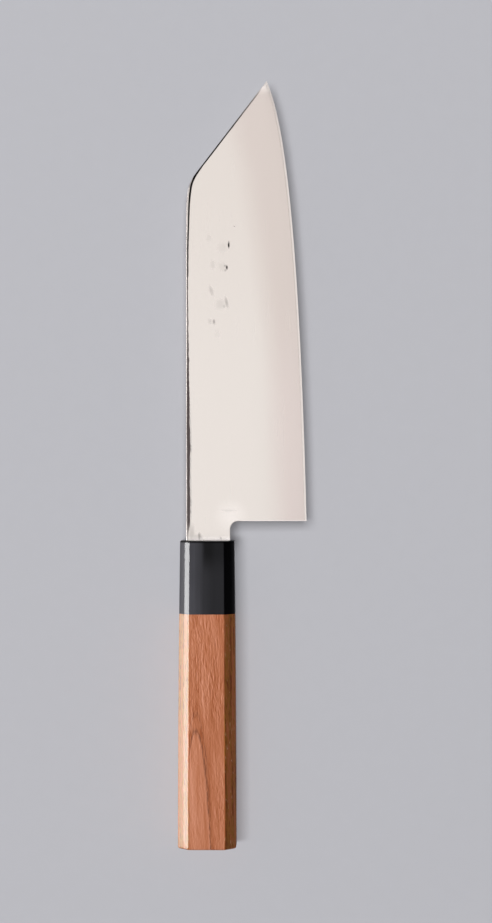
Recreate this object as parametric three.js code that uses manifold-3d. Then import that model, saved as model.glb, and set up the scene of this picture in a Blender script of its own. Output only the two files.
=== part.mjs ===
// Bunka kitchen knife with an octagonal wooden handle, lying on its side. Millimetres, +Z up.
// +Y runs from the handle to the tip, +X from the back of the blade to the cutting edge.
// The blade is a three-layer laminate: a hard steel core between two softer claddings. Its tang
// passes through a slot in the ferrule into a dowel, and the dowel joins the ferrule to the handle.
// Sizes below are taken from the handle's axis and from the ferrule's front face.

import * as THREE from "three";
import { mergeVertices } from "three/addons/utils/BufferGeometryUtils.js";
import Module from "manifold-3d";

const wasm = await Module();
wasm.setup();

// Outline of the blade
const EDGE_LENGTH = 180; // heel to tip
const NECK_LENGTH = 7.9; // ferrule to heel
const NECK_WIDTH = 18.1;
const HEEL_HEIGHT = 49.3; // back to heel corner
const BACK_OFFSET = 8.8; // back of the blade to the handle's axis
const TIP_OFFSET = 24.2; // tip to the handle's axis
const CLIP_START = 145; // where the straight back turns down to the tip
const SHOULDER_RISE = 25; // how far below that corner the back starts to curve
const SHOULDER_RUN = 9; // how far past it the curve ends
const CHOIL_RADIUS = 3.3;
const BELLY_LEAN = 0.025; // lean of the edge where it leaves the heel
const BELLY_REACH = 132; // how far the edge keeps that lean
const POINT_LEAN = 0.43; // lean of the edge where it meets the tip
const POINT_REACH = 14;

// Grind of the blade
const HEEL_THICKNESS = 3.2; // at the back, above the heel
const DISTAL_TAPER = 0.009; // loss of thickness along the knife, per mm
const CHEEK_TAPER = 0.033; // loss of thickness across the flat cheek, per mm
const FLAT_SHARE = 0.55; // share of the height that is flat, before the belly rounds to the edge
const BACK_ROUNDING = 1;
const ROUNDING_LIMIT = 0.6; // most of the half thickness that the rounding takes near the tip
const BEVEL_WIDTH = 0.7;
const BEVEL_THICKNESS = 0.32; // where the sharpened bevel starts
const CORE_THICKNESS = 0.625;

// Tang
const TANG_LENGTH = 70;
const TANG_ROOT = { width: 9, thickness: 2.5 };
const TANG_END = { width: 5, thickness: 1.8 };
const TANG_SUNK = 3; // how far the tang's bar runs up inside the neck

// Handle
const HANDLE_LENGTH = 125.1;
const FERRULE_LENGTH = 29.7;
const HANDLE_FRONT = { width: 22.1, thickness: 17.4, chamfer: 4.15 };
const HANDLE_BUTT = { width: 23.8, thickness: 19.2, chamfer: 4.48 };
const MOUTH_EASING = 0.4; // rounding of the ferrule's front edges
const BUTT_EASING = 0.8; // rounding of the handle's end

// Joint inside the handle
const BORE_DIAMETER = 12.6;
const DOWEL_DIAMETER = 12;
const DOWEL_LENGTH = 74;
const FRONT_WALL = 6; // ferrule wall that the tang passes through
const MOUTH_SLOT = { width: 11.2, thickness: 4.8 };
const DOWEL_SLOT = { width: 10, thickness: 3.8, length: 66 };
const GLUE_GAP = 0.3;

// Fineness of the facets
const BLADE_STATIONS = 60;
const NECK_STATIONS = 3;
const CHEEK_STEPS = 3;
const BELLY_STEPS = 6;
const ROUNDING_STEPS = 3;
const CHOIL_STEPS = 8;
const HANDLE_STATIONS = 6;
const FERRULE_STATIONS = 3;
const BORE_SIDES = 32;
const CLEAR = 5; // how far a cutter reaches past what it cuts
const WELD = 1e-5; // vertices closer than this are one

const BACK_X = -BACK_OFFSET;
const NECK_X = BACK_X + NECK_WIDTH;
const HEEL = new THREE.Vector2(BACK_X + HEEL_HEIGHT, NECK_LENGTH);
const TIP = new THREE.Vector2(TIP_OFFSET, NECK_LENGTH + EDGE_LENGTH);

// A closed geometry as a solid: vertices are welded, and faces that shrank to a line are dropped.
function solidFrom(geometry) {
  const bare = geometry.clone();
  bare.deleteAttribute("normal");
  bare.deleteAttribute("uv");
  const welded = mergeVertices(bare, WELD);
  const faces = [];
  for (let i = 0; i < welded.index.count; i += 3) {
    const face = [0, 1, 2].map((k) => welded.index.getX(i + k));
    if (new Set(face).size === 3) faces.push(...face);
  }
  const mesh = new wasm.Mesh({
    numProp: 3,
    vertProperties: new Float32Array(welded.attributes.position.array),
    triVerts: new Uint32Array(faces),
  });
  return new wasm.Manifold(mesh);
}

// A solid as a geometry with flat facets.
function geometryFrom(solid) {
  const { vertProperties, triVerts } = solid.getMesh();
  const geometry = new THREE.BufferGeometry();
  geometry.setAttribute("position", new THREE.BufferAttribute(vertProperties, 3));
  geometry.setIndex(new THREE.BufferAttribute(triVerts, 1));
  const faceted = geometry.toNonIndexed();
  faceted.computeVertexNormals();
  return faceted;
}

// Skin over a row of rings, closed at both ends. Each ring runs anticlockwise seen from the last one.
function loft(rings) {
  const count = rings[0].length;
  const points = rings.flat();
  const index = [];
  for (let r = 0; r + 1 < rings.length; r++) {
    for (let i = 0; i < count; i++) {
      const a = r * count + i;
      const b = r * count + ((i + 1) % count);
      index.push(a, b, b + count, a, b + count, a + count);
    }
  }
  const closeEnd = (ring, first, turn) => {
    const middle = ring.reduce((sum, p) => sum.add(p), new THREE.Vector3()).divideScalar(count);
    const centre = points.push(middle) - 1;
    for (let i = 0; i < count; i++) {
      const next = (i + 1) % count;
      index.push(centre, first + (turn ? next : i), first + (turn ? i : next));
    }
  };
  closeEnd(rings[0], 0, true);
  closeEnd(rings.at(-1), (rings.length - 1) * count, false);
  return new THREE.BufferGeometry().setFromPoints(points).setIndex(index);
}

// A block from y = front back to y = front - length, centred on the handle's axis.
function block(width, length, thickness, front = 0) {
  return new THREE.BoxGeometry(width, length, thickness).translate(0, front - length / 2, 0);
}

// A round bar on the handle's axis, from y = front back to y = front - length.
function bar(diameter, length, front) {
  const shape = new THREE.CylinderGeometry(diameter / 2, diameter / 2, length, BORE_SIDES);
  return shape.translate(0, front - length / 2, 0);
}

const evenly = (steps) => Array.from({ length: steps + 1 }, (_, i) => i / steps);

// Back of the blade from heel to tip: straight, a drawn-out shoulder, then the clipped point.
function backLine() {
  const corner = new THREE.Vector2(BACK_X, CLIP_START);
  const end = TIP.clone().sub(corner).setLength(SHOULDER_RUN).add(corner);
  const path = new THREE.Path();
  path.moveTo(BACK_X, NECK_LENGTH);
  path.lineTo(BACK_X, CLIP_START - SHOULDER_RISE);
  path.bezierCurveTo(corner.x, corner.y, corner.x, corner.y, end.x, end.y);
  path.lineTo(TIP.x, TIP.y);
  return path;
}

// Cutting edge from heel to tip: nearly straight, then curving up to the point.
function edgeLine() {
  const leave = HEEL.clone().add(new THREE.Vector2(-BELLY_LEAN, 1).multiplyScalar(BELLY_REACH));
  const arrive = TIP.clone().add(new THREE.Vector2(POINT_LEAN, -1).multiplyScalar(POINT_REACH));
  return new THREE.CubicBezierCurve(HEEL, leave, arrive, TIP);
}

// Half thickness of the flat cheek, which tapers both to the tip and to the edge.
function cheekHeight(x, y) {
  return (HEEL_THICKNESS - DISTAL_TAPER * (y - NECK_LENGTH) - CHEEK_TAPER * (x - BACK_X)) / 2;
}

// Section of the blade between a point of the back and a point of the edge.
function bladeSection(back, edge) {
  const height = back.distanceTo(edge);
  const bevelStart = Math.max(height - BEVEL_WIDTH, height / 2);
  const flatEnd = FLAT_SHARE * bevelStart;
  const at = (d) => back.clone().lerp(edge, height > 0 ? d / height : 0);
  const cheekAt = (d) => cheekHeight(at(d).x, at(d).y);
  const excess = cheekAt(bevelStart) - BEVEL_THICKNESS / 2;
  const backHeight = cheekAt(0);
  const rounding = Math.min(BACK_ROUNDING, ROUNDING_LIMIT * backHeight, flatEnd);

  const side = evenly(ROUNDING_STEPS).map((t) => {
    const angle = (t * Math.PI) / 2;
    const d = rounding * (1 - Math.cos(angle));
    return [d, cheekAt(d) - rounding * (1 - Math.sin(angle))];
  });
  for (const t of evenly(CHEEK_STEPS).slice(1)) {
    const d = THREE.MathUtils.lerp(rounding, flatEnd, t);
    side.push([d, cheekAt(d)]);
  }
  for (const t of evenly(BELLY_STEPS).slice(1)) {
    const d = THREE.MathUtils.lerp(flatEnd, bevelStart, t);
    side.push([d, cheekAt(d) - excess * t * t]);
  }
  const ring = (sign) => side.map(([d, z]) => new THREE.Vector3(at(d).x, at(d).y, sign * z));
  return [...ring(1), new THREE.Vector3(edge.x, edge.y, 0), ...ring(-1).reverse()];
}

// Bar with four flat sides that narrows from the neck to the end of the tang.
function tangBar(grow = 0) {
  const ring = (y) => {
    const t = -y / TANG_LENGTH;
    const x = THREE.MathUtils.lerp(TANG_ROOT.width, TANG_END.width, t) / 2 + grow;
    const z = THREE.MathUtils.lerp(TANG_ROOT.thickness, TANG_END.thickness, t) / 2 + grow;
    return [[-x, z], [x, z], [x, -z], [-x, -z]].map((p) => new THREE.Vector3(p[0], y, p[1]));
  };
  return loft([ring(-TANG_LENGTH - grow), ring(TANG_SUNK)]);
}

// Blade blank: the ground wedge with its tang, before it is parted into layers.
function bladeBlank() {
  const back = backLine();
  const edge = edgeLine();
  const neck = evenly(NECK_STATIONS).slice(0, -1).map((t) => {
    const y = t * NECK_LENGTH;
    return bladeSection(new THREE.Vector2(BACK_X, y), new THREE.Vector2(HEEL.x, y));
  });
  const body = evenly(BLADE_STATIONS).map((t) => bladeSection(back.getPoint(t), edge.getPointAt(t)));
  const choil = new THREE.Shape();
  choil.moveTo(NECK_X, -CLEAR);
  choil.lineTo(NECK_X, NECK_LENGTH - CHOIL_RADIUS);
  choil.absarc(NECK_X + CHOIL_RADIUS, NECK_LENGTH - CHOIL_RADIUS, CHOIL_RADIUS, Math.PI, Math.PI / 2, true);
  choil.lineTo(HEEL.x + CLEAR, NECK_LENGTH);
  choil.lineTo(HEEL.x + CLEAR, -CLEAR);
  const through = { depth: 2 * CLEAR, bevelEnabled: false, curveSegments: CHOIL_STEPS };
  const cutter = new THREE.ExtrudeGeometry(choil, through).translate(0, 0, -CLEAR);
  return solidFrom(loft([...neck, ...body])).subtract(solidFrom(cutter)).add(solidFrom(tangBar()));
}

// Part of the blank between two heights: one layer of the laminate.
function layer(blank, low, high) {
  const size = 2 * (TIP.y + TANG_LENGTH);
  const slab = new THREE.BoxGeometry(size, size, high - low).translate(0, 0, (low + high) / 2);
  return geometryFrom(blank.intersect(solidFrom(slab)));
}

// Octagon across the handle at a distance y from the ferrule's front, drawn in by inset.
function octagon(y, inset = 0) {
  const t = -y / HANDLE_LENGTH;
  const swell = 1 - (1 - t) ** 2;
  const x = THREE.MathUtils.lerp(HANDLE_FRONT.width, HANDLE_BUTT.width, swell) / 2 - inset;
  const z = THREE.MathUtils.lerp(HANDLE_FRONT.thickness, HANDLE_BUTT.thickness, t) / 2 - inset;
  const cut = THREE.MathUtils.lerp(HANDLE_FRONT.chamfer, HANDLE_BUTT.chamfer, swell);
  const c = cut - inset * (2 - Math.SQRT2);
  const quarter = [[x - c, z], [x, z - c]];
  const half = [...quarter, ...quarter.map(([px, pz]) => [px, -pz]).reverse()];
  const all = [...half, ...half.map(([px, pz]) => [-px, pz]).reverse()];
  return all.map(([px, pz]) => new THREE.Vector3(px, y, pz));
}

// Octagon rings that round off an end: they leave the side and turn in to the end face.
function easedEnd(end, inward, easing) {
  return evenly(ROUNDING_STEPS).map((t) => {
    const angle = (t * Math.PI) / 2;
    return octagon(end + inward * easing * (1 - Math.sin(angle)), easing * (1 - Math.cos(angle)));
  });
}

// Horn ferrule: an octagonal cap with a tang slot in its front wall and a bore for the dowel behind.
function ferrule() {
  const sides = evenly(FERRULE_STATIONS).slice(0, -1);
  const rings = sides.map((t) => octagon(-FERRULE_LENGTH + t * FERRULE_LENGTH));
  const body = solidFrom(loft([...rings, ...easedEnd(0, -1, MOUTH_EASING)]));
  const slot = block(MOUTH_SLOT.width, FRONT_WALL + 2 * CLEAR, MOUTH_SLOT.thickness, CLEAR);
  const bore = bar(BORE_DIAMETER, FERRULE_LENGTH, -FRONT_WALL);
  return geometryFrom(body.subtract(solidFrom(slot)).subtract(solidFrom(bore)));
}

// Wooden handle: an octagon that swells to the butt, bored from the front for the dowel.
function handleBody() {
  const front = -FERRULE_LENGTH;
  const length = HANDLE_LENGTH - FERRULE_LENGTH - BUTT_EASING;
  const rings = evenly(HANDLE_STATIONS).slice(0, -1).map((t) => octagon(front - t * length)).reverse();
  const body = solidFrom(loft([...easedEnd(-HANDLE_LENGTH, 1, BUTT_EASING).reverse(), ...rings]));
  const depth = FRONT_WALL + DOWEL_LENGTH + GLUE_GAP;
  return geometryFrom(body.subtract(solidFrom(bar(BORE_DIAMETER, depth, 0))));
}

// Dowel that joins ferrule and handle, slotted from the front for the tang.
function dowel() {
  const rod = solidFrom(bar(DOWEL_DIAMETER, DOWEL_LENGTH, -FRONT_WALL));
  const slot = block(DOWEL_SLOT.width, DOWEL_SLOT.length + CLEAR, DOWEL_SLOT.thickness, CLEAR - FRONT_WALL);
  return geometryFrom(rod.subtract(solidFrom(slot)));
}

// Resin that fills the dowel's slot round the tang.
function tangBedding() {
  const fill = block(DOWEL_SLOT.width, DOWEL_SLOT.length, DOWEL_SLOT.thickness, -FRONT_WALL);
  return geometryFrom(solidFrom(fill).subtract(solidFrom(tangBar(GLUE_GAP))));
}

// Seal round the tang, flush with the ferrule's front face, that keeps water out of the handle.
function mouthSeal() {
  const plug = block(MOUTH_SLOT.width, FRONT_WALL, MOUTH_SLOT.thickness);
  return geometryFrom(solidFrom(plug).subtract(solidFrom(tangBar(GLUE_GAP))));
}

const MATERIALS = {
  core: new THREE.MeshStandardMaterial({ color: 0xdedbd7, roughness: 0.2, metalness: 1 }),
  cladding: new THREE.MeshStandardMaterial({ color: 0xd9d4cf, roughness: 0.3, metalness: 1 }),
  horn: new THREE.MeshStandardMaterial({ color: 0x17171a, roughness: 0.25, metalness: 0 }),
  handleWood: new THREE.MeshStandardMaterial({ color: 0xb8724c, roughness: 0.45, metalness: 0 }),
  dowelWood: new THREE.MeshStandardMaterial({ color: 0xd8bf96, roughness: 0.7, metalness: 0 }),
  resin: new THREE.MeshStandardMaterial({ color: 0x3a2f22, roughness: 0.4, metalness: 0 }),
  seal: new THREE.MeshStandardMaterial({ color: 0x1b1815, roughness: 0.5, metalness: 0 }),
};

const knife = new THREE.Group();

function place(name, geometry, material) {
  const mesh = new THREE.Mesh(geometry, material);
  mesh.name = name;
  knife.add(mesh);
}

const blank = bladeBlank();
const coreHalf = CORE_THICKNESS / 2;
place("blade_core", layer(blank, -coreHalf, coreHalf), MATERIALS.core);
place("right_cladding", layer(blank, coreHalf, HEEL_THICKNESS), MATERIALS.cladding);
place("left_cladding", layer(blank, -HEEL_THICKNESS, -coreHalf), MATERIALS.cladding);
place("ferrule", ferrule(), MATERIALS.horn);
place("handle_body", handleBody(), MATERIALS.handleWood);
place("dowel", dowel(), MATERIALS.dowelWood);
place("tang_bedding", tangBedding(), MATERIALS.resin);
place("mouth_seal", mouthSeal(), MATERIALS.seal);

// The knife lies with its lowest face on z = 0, centred over the origin.
const extent = new THREE.Box3().setFromObject(knife);
const middle = extent.getCenter(new THREE.Vector3());
knife.position.set(-middle.x, -middle.y, -extent.min.z);

const bunkaKnife = new THREE.Group();
bunkaKnife.add(knife);

export default bunkaKnife;
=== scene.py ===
import bisect
import itertools
import math

import bmesh
import bpy
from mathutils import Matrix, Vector, geometry


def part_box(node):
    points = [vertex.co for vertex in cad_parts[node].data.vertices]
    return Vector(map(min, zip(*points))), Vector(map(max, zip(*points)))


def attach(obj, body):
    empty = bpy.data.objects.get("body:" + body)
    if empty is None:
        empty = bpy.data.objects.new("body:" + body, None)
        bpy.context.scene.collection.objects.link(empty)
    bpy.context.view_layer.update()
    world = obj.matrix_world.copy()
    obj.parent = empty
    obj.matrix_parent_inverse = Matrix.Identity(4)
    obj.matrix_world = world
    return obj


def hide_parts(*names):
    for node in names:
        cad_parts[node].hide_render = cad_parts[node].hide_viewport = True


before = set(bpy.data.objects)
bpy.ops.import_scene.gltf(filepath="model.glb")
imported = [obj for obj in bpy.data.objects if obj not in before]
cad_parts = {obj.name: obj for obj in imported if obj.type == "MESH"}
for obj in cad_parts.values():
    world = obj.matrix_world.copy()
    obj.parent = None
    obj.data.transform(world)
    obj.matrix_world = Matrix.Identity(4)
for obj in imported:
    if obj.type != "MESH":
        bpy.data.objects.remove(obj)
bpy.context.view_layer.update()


# Blade core: the hard steel sheet in the middle of the blade. It is forge-welded between the two
# claddings, comes out along the cutting edge where the grind cuts through them, and carries the
# sharpened bevel. Its tang runs back into the handle.
MM = 0.001
core_low, core_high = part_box("blade_core")
ferrule_low, ferrule_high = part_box("ferrule")
AXIS_X = (ferrule_low.x + ferrule_high.x) / 2
MID_Z = (core_low.z + core_high.z) / 2
CORE_HALF = (core_high.z - core_low.z) / 2

FOOT_Y = ferrule_high.y
HEEL_Y = FOOT_Y + 7.9 * MM
BACK_X = core_low.x
NECK_X = BACK_X + 18.1 * MM
HEEL = Vector((core_high.x, HEEL_Y))
TIP = Vector((AXIS_X + 24.2 * MM, core_high.y))
CLIP_Y = FOOT_Y + 145 * MM
SHOULDER_RISE = 25 * MM
SHOULDER_RUN = 9 * MM
CHOIL_RADIUS = 3.3 * MM
CHOIL = Vector((NECK_X + CHOIL_RADIUS, HEEL_Y - CHOIL_RADIUS))
EDGE_LEAVE = HEEL + 132 * MM * Vector((-0.025, 1))
EDGE_ARRIVE = TIP + 14 * MM * Vector((0.43, -1))

HEEL_HALF = 1.6 * MM
DISTAL_TAPER = 0.0045
CHEEK_TAPER = 0.0165
FLAT_SHARE = 0.55
BEVEL_WIDTH = 0.7 * MM
BEVEL_HALF = 0.16 * MM
BACK_ROUNDING = 1.0 * MM
ROUNDING_LIMIT = 0.6
EDGE_EASING = 0.15 * MM
EASING_LIMIT = 0.55
POINT_SLOPE = 0.1

TANG_END_Y = core_low.y
TANG_ROOT = (4.5 * MM, 1.25 * MM)
TANG_END = (2.5 * MM, 0.9 * MM)

# Points of the outline's curves, halvings of a search, and how fine the mesh is: rows up the blade,
# and columns round the back, across the cheek, over the belly, to the bevel and across it.
CURVE_POINTS = 1500
HALVINGS = 40
NECK_ROWS = 6
CHOIL_ROWS = 12
HEEL_ROWS = 5
CORE_ROWS = 260
TIP_CROWDING = 1.25
CORE_COLUMNS = (6, 10, 6)
EASING_COLUMNS = 4
EASING_SHARE = 0.2
EDGE_COLUMNS = 8
BEVEL_COLUMNS = 3
# Points closer than this become one, and edges that turn more than this stay sharp.
TINY = 2e-7
SHARP_TURN = math.radians(32)

CLIP = Vector((BACK_X, CLIP_Y))
CLIP_TURN = math.atan2(TIP.x - BACK_X, TIP.y - CLIP_Y)
SHOULDER_START = CLIP - Vector((0, SHOULDER_RISE))
SHOULDER_END = CLIP + (TIP - CLIP).normalized() * SHOULDER_RUN


def steps(count):
    """Shares from 0 to 1 in even steps, both ends included."""
    return [i / count for i in range(count + 1)]


def lerp(a, b, t):
    return a + (b - a) * t


def bend(start, pull_start, pull_end, end):
    """Points of a smooth curve that leaves and arrives along its two pulls."""
    return geometry.interpolate_bezier(start, pull_start, pull_end, end, CURVE_POINTS)


def point_along(line, t):
    """Point of a line of points at a share of its length."""
    runs = line_runs[id(line)]
    run = t * runs[-1]
    after = min(bisect.bisect_right(runs, run), len(runs) - 1)
    share = (run - runs[after - 1]) / (runs[after] - runs[after - 1])
    return line[after - 1].lerp(line[after], share)


# The back runs straight, curves in to the shoulder and goes straight down to the tip.
back_line = [
    Vector((BACK_X, HEEL_Y)),
    *bend(SHOULDER_START, CLIP, CLIP, SHOULDER_END),
    TIP,
]
edge_line = bend(HEEL, EDGE_LEAVE, EDGE_ARRIVE, TIP)
line_runs = {}
for line in (back_line, edge_line):
    lengths = [(after - here).length for here, after in zip(line, line[1:])]
    line_runs[id(line)] = [0.0, *itertools.accumulate(lengths)]


def to_choil(point):
    """Distance from the cut-out behind the heel: neck front, round corner, heel line."""
    if point.x > CHOIL.x:
        return point.y - HEEL_Y
    if point.y > CHOIL.y:
        return (point - CHOIL).length - CHOIL_RADIUS
    return NECK_X - point.x


def eased(half, distance, radius):
    """Half thickness at a distance from an edge that is rounded over."""
    if distance >= radius:
        return half
    inward = radius - max(distance, 0)
    return half - radius + math.sqrt(radius * radius - inward * inward)


class Section:
    """The ground section of the blade on a line from its back to its edge."""

    def __init__(self, back, edge):
        self.back = back
        self.edge = edge
        self.height = (edge - back).length
        self.bevel = max(self.height - BEVEL_WIDTH, self.height / 2)
        self.bevel_half = BEVEL_HALF * (self.height - self.bevel) / BEVEL_WIDTH
        self.flat_end = FLAT_SHARE * self.bevel
        self.excess = self.cheek(self.bevel) - self.bevel_half
        self.rounding = min(BACK_ROUNDING, ROUNDING_LIMIT * self.cheek(0), self.flat_end)

    def at(self, d):
        return self.back.lerp(self.edge, d / self.height) if self.height > 0 else self.back.copy()

    def cheek(self, d):
        """Half thickness of the flat cheek, which tapers to the tip and to the edge."""
        point = self.at(d)
        half = HEEL_HALF - DISTAL_TAPER * (point.y - HEEL_Y) - CHEEK_TAPER * (point.x - BACK_X)
        return min(half, POINT_SLOPE * self.height)

    def half(self, d):
        """Half thickness with the belly, the bevel and all rounded edges."""
        if d <= self.flat_end:
            half = self.cheek(d)
        elif d <= self.bevel:
            share = (d - self.flat_end) / (self.bevel - self.flat_end)
            half = self.cheek(d) - self.excess * share * share
        else:
            half = BEVEL_HALF * (self.height - d) / BEVEL_WIDTH
        point = self.at(d)
        easing = min(EDGE_EASING, EASING_LIMIT * half)
        half = eased(half, to_choil(point), easing)
        return max(eased(half, d, self.rounding), 0)

    def crossing(self, inside, outside, level):
        """Distance from the back where the half thickness falls to a level."""
        for _ in range(HALVINGS):
            middle = (inside + outside) / 2
            if self.half(middle) >= level:
                inside = middle
            else:
                outside = middle
        return inside


def place_at(point, z):
    return Vector((point.x, point.y, z))


def skin(name, rings, closed=False):
    """A mesh over rings of as many points each: joined end to end, or closed by end faces."""
    mesh = bmesh.new()
    rows = [[mesh.verts.new(point) for point in ring] for ring in rings]
    pairs = list(zip(rows, rows[1:]))
    if closed:
        pairs.append((rows[-1], rows[0]))
    else:
        mesh.faces.new(rows[0])
        mesh.faces.new(rows[-1])
    for low, high in pairs:
        for i in range(len(low)):
            mesh.faces.new((low[i - 1], low[i], high[i], high[i - 1]))
    bmesh.ops.remove_doubles(mesh, verts=mesh.verts, dist=TINY)
    bmesh.ops.dissolve_degenerate(mesh, edges=mesh.edges, dist=TINY)
    bmesh.ops.recalc_face_normals(mesh, faces=mesh.faces)
    if mesh.calc_volume(signed=True) < 0:
        bmesh.ops.reverse_faces(mesh, faces=mesh.faces)
    data = bpy.data.meshes.new(name)
    mesh.to_mesh(data)
    mesh.free()
    data.shade_smooth()
    data.set_sharp_from_angle(angle=SHARP_TURN)
    piece = bpy.data.objects.new(name, data)
    bpy.context.collection.objects.link(piece)
    return piece


def join_shells(piece, other):
    """Adds another closed shell to a piece."""
    mesh = bmesh.new()
    mesh.from_mesh(piece.data)
    mesh.from_mesh(other.data)
    mesh.to_mesh(piece.data)
    mesh.free()
    bpy.data.objects.remove(other)


def neck_rows(count):
    """Rows up the neck: height, and where the neck ends in front, round the choil's corner."""
    rows = [(lerp(FOOT_Y, CHOIL.y, t), NECK_X) for t in steps(count)]
    for t in steps(CHOIL_ROWS)[1:]:
        angle = t * math.pi / 2
        rows.append((
            CHOIL.y + CHOIL_RADIUS * math.sin(angle),
            CHOIL.x - CHOIL_RADIUS * math.cos(angle),
        ))
    return rows


def blade_rows(count, end=1.0):
    """Shares along the blade, close together at the heel's rounded edge and towards the end."""
    easing = EDGE_EASING / (TIP.y - HEEL_Y)
    first = [easing * (1 - math.cos(t * math.pi / 2)) for t in steps(HEEL_ROWS)]
    rest = [lerp(first[-1], end, 1 - (1 - t) ** TIP_CROWDING) for t in steps(count)]
    return first + rest[1:]


def columns(section, reach, stop, counts):
    """Distances from the back: round the back, across the cheek to reach, then out to stop."""
    rounding, cheek, belly = counts
    near = [section.rounding * (1 - math.cos(t * math.pi / 2)) for t in steps(rounding)]
    ease = min(EDGE_EASING, EASING_SHARE * max(reach - section.rounding, 0))
    inner = [lerp(section.rounding, reach - ease, t) for t in steps(cheek)[1:]]
    inner += [reach - ease * (1 - math.sin(t * math.pi / 2)) for t in steps(EASING_COLUMNS)[1:]]
    outer = [lerp(reach, stop, t) for t in steps(belly)[1:]]
    return near + inner, outer


def core_ring(section, reach, neck, counts):
    """Ring round the core. In the neck it stops at reach, and what is left of it shrinks there."""
    split = section.crossing(section.flat_end, section.height, CORE_HALF)
    if section.half(section.flat_end) < CORE_HALF:
        split = section.flat_end
    inner, outer = columns(section, reach, max(split, reach), counts)
    bevel = [lerp(max(split, reach), section.bevel, t) for t in steps(EDGE_COLUMNS)[1:]]
    bevel += [lerp(section.bevel, section.height, t) for t in steps(BEVEL_COLUMNS)[1:]]
    ring = []
    for d in inner + outer + bevel:
        kept = min(d, reach) if neck else d
        ring.append((section.at(kept), min(section.half(kept), CORE_HALF)))
    top = [place_at(point, MID_Z + z) for point, z in ring]
    bottom = [place_at(point, MID_Z - z) for point, z in reversed(ring)]
    return top + bottom


REACH_SHARE = (CHOIL.x - BACK_X) / (HEEL.x - BACK_X)


def neck_section(y):
    return Section(Vector((BACK_X, y)), Vector((HEEL.x, y)))


def blade_section(t):
    return Section(point_along(back_line, t), point_along(edge_line, t))


core_rings = [
    core_ring(neck_section(y), front - BACK_X, True, CORE_COLUMNS)
    for y, front in neck_rows(NECK_ROWS)
]
for t in blade_rows(CORE_ROWS):
    section = blade_section(t)
    core_rings.append(core_ring(section, REACH_SHARE * section.height, False, CORE_COLUMNS))


def tang_shell(low, high):
    """The part of the narrowing tang between two heights."""
    rings = []
    for t in steps(1):
        width = lerp(TANG_ROOT[0], TANG_END[0], t)
        thickness = lerp(TANG_ROOT[1], TANG_END[1], t)
        bottom = max(low, -thickness)
        top = min(high, thickness)
        corners = ((-width, bottom), (width, bottom), (width, top), (-width, top))
        y = lerp(FOOT_Y, TANG_END_Y, t)
        rings.append([Vector((AXIS_X + x, y, MID_Z + z)) for x, z in corners])
    return skin("tang", rings)


blade_core = skin("blade_core_steel", core_rings)
join_shells(blade_core, tang_shell(-CORE_HALF, CORE_HALF))


class Socket:
    """A socket of a finish. Sums on sockets add Math nodes to the finish."""

    def __init__(self, source):
        self.source = source

    def node(self, kind, settings=None, inputs=None):
        """Adds a node with its settings and inputs, and returns its outputs."""
        added = self.source.id_data.nodes.new(kind)
        for name, value in (settings or {}).items():
            if name == "stops":
                ramp = added.color_ramp.elements
                while len(ramp) < len(value):
                    ramp.new(1.0)
                for stop, (position, colour) in zip(ramp, value):
                    stop.position = position
                    stop.color = colour
            else:
                setattr(added, name, value)
        connect(added, inputs or {})
        return [Socket(output) for output in added.outputs]

    def math(self, operation, *values):
        return self.node("ShaderNodeMath", {"operation": operation}, dict(enumerate(values)))[0]

    def __add__(self, other):
        return self.math("ADD", self, other)

    def __radd__(self, other):
        return self.math("ADD", other, self)

    def __sub__(self, other):
        return self.math("SUBTRACT", self, other)

    def __rsub__(self, other):
        return self.math("SUBTRACT", other, self)

    def __mul__(self, other):
        return self.math("MULTIPLY", self, other)

    def __rmul__(self, other):
        return self.math("MULTIPLY", other, self)

    def __truediv__(self, other):
        return self.math("DIVIDE", self, other)

    def smooth(self, low, high):
        """0 below low, 1 above high and a smooth rise between. Low may be the larger."""
        limits = {"Value": self, "From Min": low, "From Max": high}
        return self.node("ShaderNodeMapRange", {"interpolation_type": "SMOOTHSTEP"}, limits)[0]

    def follow(self, stops):
        """A value that runs through stops, each a value of this one and the result there."""
        first, last = stops[0][0], stops[-1][0]
        top = max(result for _, result in stops)
        ramp = [((at - first) / (last - first), (result / top,) * 3 + (1,)) for at, result in stops]
        share = (self - first) / (last - first)
        return share.node("ShaderNodeValToRGB", {"stops": ramp}, {"Fac": share})[0] * top

    def mix(self, colour, other):
        """From one colour to another as this goes from 0 to 1."""
        sides = {0: self, 6: colour, 7: other}
        return self.node("ShaderNodeMix", {"data_type": "RGBA"}, sides)[2]

    def axes(self):
        return self.node("ShaderNodeSeparateXYZ", inputs={"Vector": self})

    def grain(self, scale, detail=3.0, roughness=0.55, stray=0.0):
        """Noise from 0 to 1: its repeats per metre along each axis, and how far it strays."""
        stretched = self.node("ShaderNodeVectorMath", {"operation": "MULTIPLY"}, {0: self, 1: scale})
        return self.node("ShaderNodeTexNoise", inputs={
            "Vector": stretched[0],
            "Scale": 1.0,
            "Detail": detail,
            "Roughness": roughness,
            "Distortion": stray,
        })[0]

    def relief(self, distance):
        """A bumped normal, from this as a height."""
        return self.node("ShaderNodeBump", inputs={"Height": self, "Distance": distance})[0]


def connect(node, inputs):
    """Sets or links the named inputs of a node."""
    for name, value in inputs.items():
        if isinstance(value, Socket):
            node.id_data.links.new(value.source, node.inputs[name])
        else:
            node.inputs[name].default_value = value


def new_finish(name, fixed):
    """A new finish with its fixed values. Returns it, its shader and the place on the piece."""
    finish = bpy.data.materials.new(name)
    finish.use_nodes = True
    shader = finish.node_tree.nodes["Principled BSDF"]
    connect(shader, fixed)
    place = Socket(finish.node_tree.nodes.new("ShaderNodeTexCoord").outputs["Object"])
    return finish, shader, place


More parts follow.
